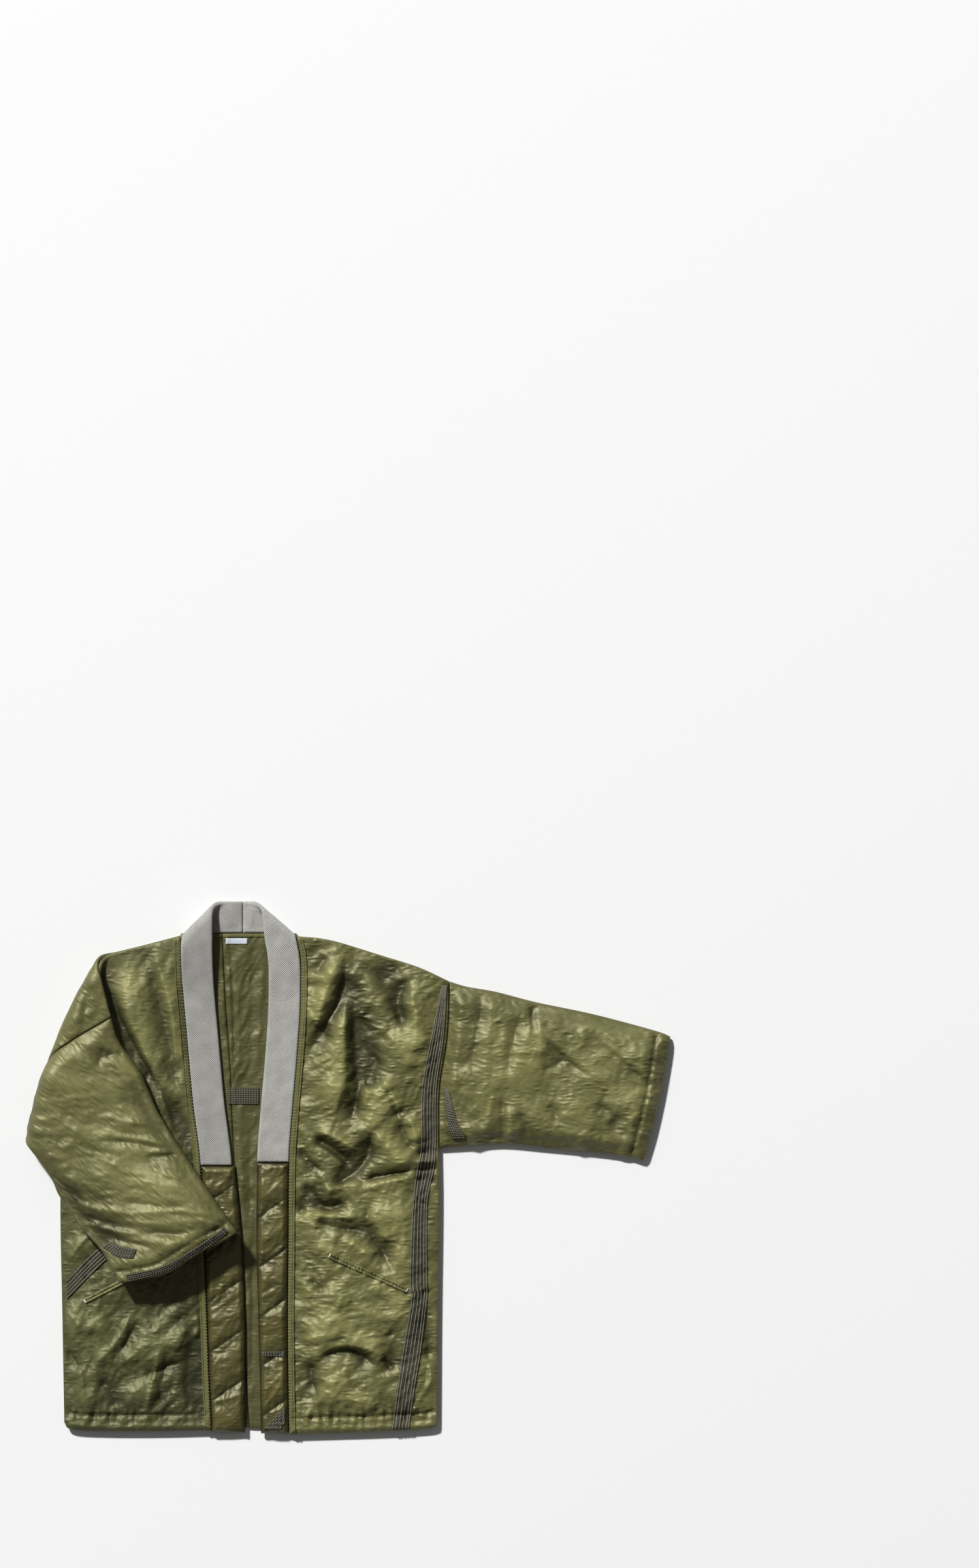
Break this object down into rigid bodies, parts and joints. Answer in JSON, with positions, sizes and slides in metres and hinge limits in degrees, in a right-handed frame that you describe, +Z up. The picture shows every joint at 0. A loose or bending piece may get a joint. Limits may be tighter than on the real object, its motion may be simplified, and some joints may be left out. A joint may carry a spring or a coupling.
{
  "type": "hanten jacket, laid flat",
  "caption": "Short padded hanten jacket laid open and flat, front up, with its right sleeve folded over the front; grey wool collar, quilted front bands, stitched seam tapes.",
  "frame": {"origin": "under the middle of the jacket's box, on the surface that it lies on", "axes": "+X across the jacket to the wearer's left, +Y up the jacket from hem to collar, +Z up from the surface, out of the front"},
  "size_m": [0.9844, 0.8154, 0.0629],
  "materials": {
    "nylon": "thin padded nylon, crumpled, softly shiny",
    "lining": "plain woven nylon, matt",
    "quilted_nylon": "padded nylon with diagonal quilting",
    "wool": "wool twill, matt",
    "binding": "stitched edging, matt",
    "tape": "stitched seam tape, matt",
    "label": "plain woven label"
  },
  "bodies": {
    "root": {"back_left": "lining", "back_right": "lining", "back_tape": "tape", "band_tape_lower": "tape", "band_tape_upper": "tape", "collar_left": "wool", "collar_right": "wool", "cuff_tape_right": "tape", "front_binding_left": "binding", "front_binding_right": "binding", "front_left": "nylon", "front_right": "nylon", "neck_binding_left": "binding", "neck_binding_right": "binding", "neck_label": "label", "pocket_welt_left": "nylon", "pocket_welt_right": "nylon", "quilted_band_left": "quilted_nylon", "quilted_band_right": "quilted_nylon", "seam_tape_left": "tape", "seam_tape_right": "tape", "sleeve_left": "nylon", "sleeve_right": "nylon", "sleeve_tape_left": "tape", "sleeve_tape_right": "tape"}
  },
  "joints": []
}
